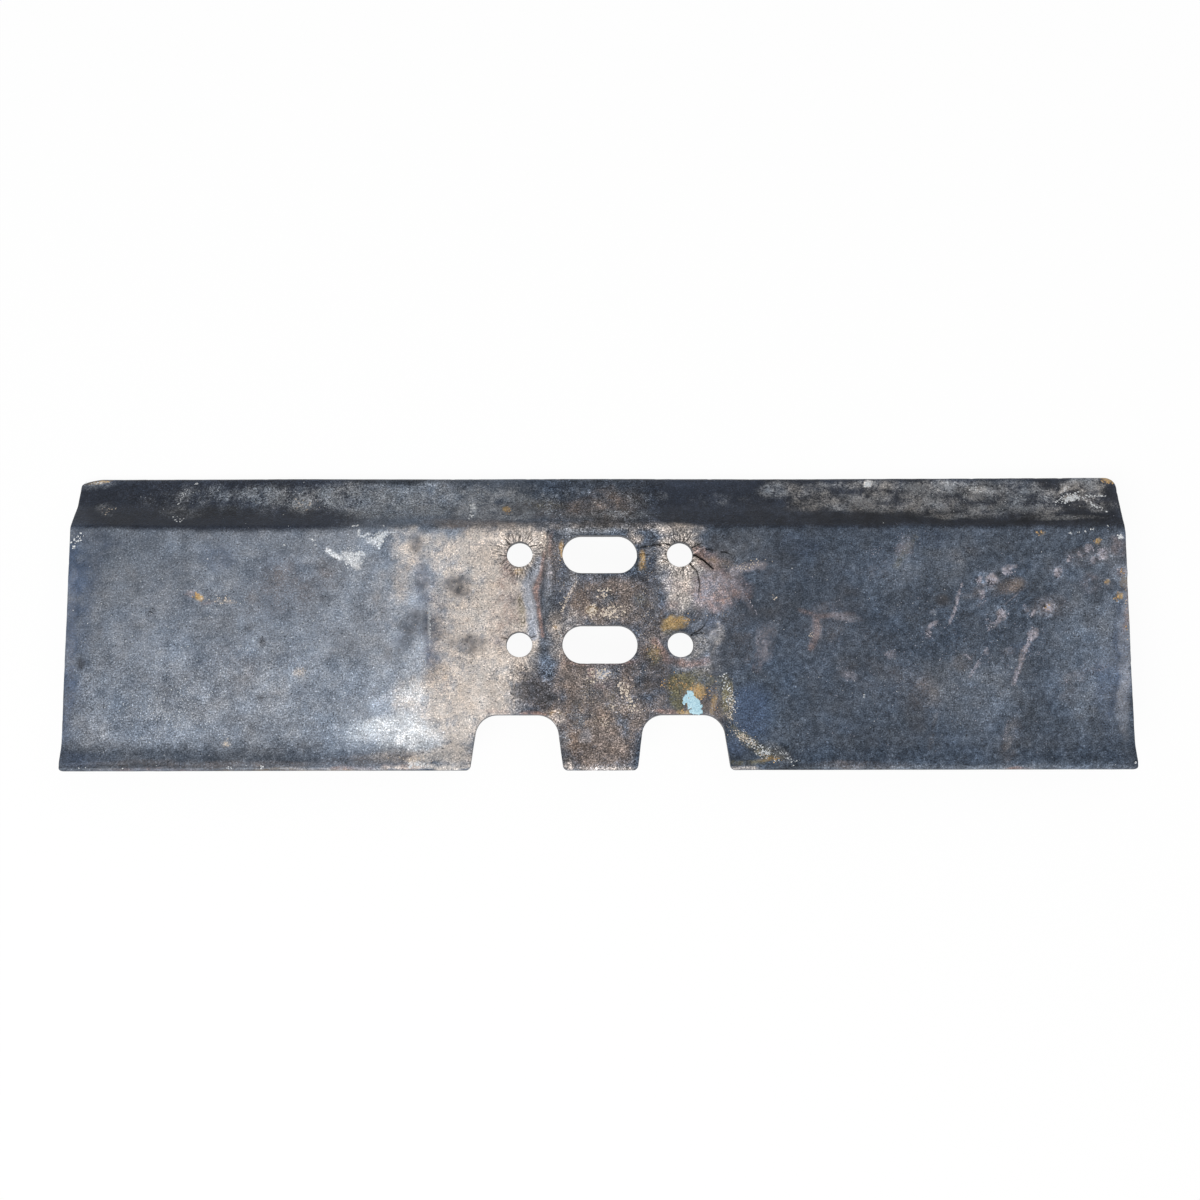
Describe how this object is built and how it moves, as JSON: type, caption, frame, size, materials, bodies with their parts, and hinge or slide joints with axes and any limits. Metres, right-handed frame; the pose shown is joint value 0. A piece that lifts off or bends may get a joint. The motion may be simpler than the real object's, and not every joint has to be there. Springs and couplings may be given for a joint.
{
  "type": "excavator track shoe",
  "caption": "Rolled steel track shoe with a down-turned front lip, a raised rear lip, ground bars, link bolt holes, obround mud slots and link clearance notches.",
  "frame": {"origin": "middle of the link bolt pattern, on the face that the links are bolted to", "axes": "+X along the shoe's width, +Y towards the down-turned front lip, +Z away from the ground"},
  "size_m": [0.6, 0.1714, 0.0316],
  "materials": {
    "worn_rolled_steel": "hot-rolled steel, worn and pitted, with mill scale, dried mud and rust"
  },
  "bodies": {
    "root": {"track_shoe": "worn_rolled_steel"}
  },
  "joints": []
}
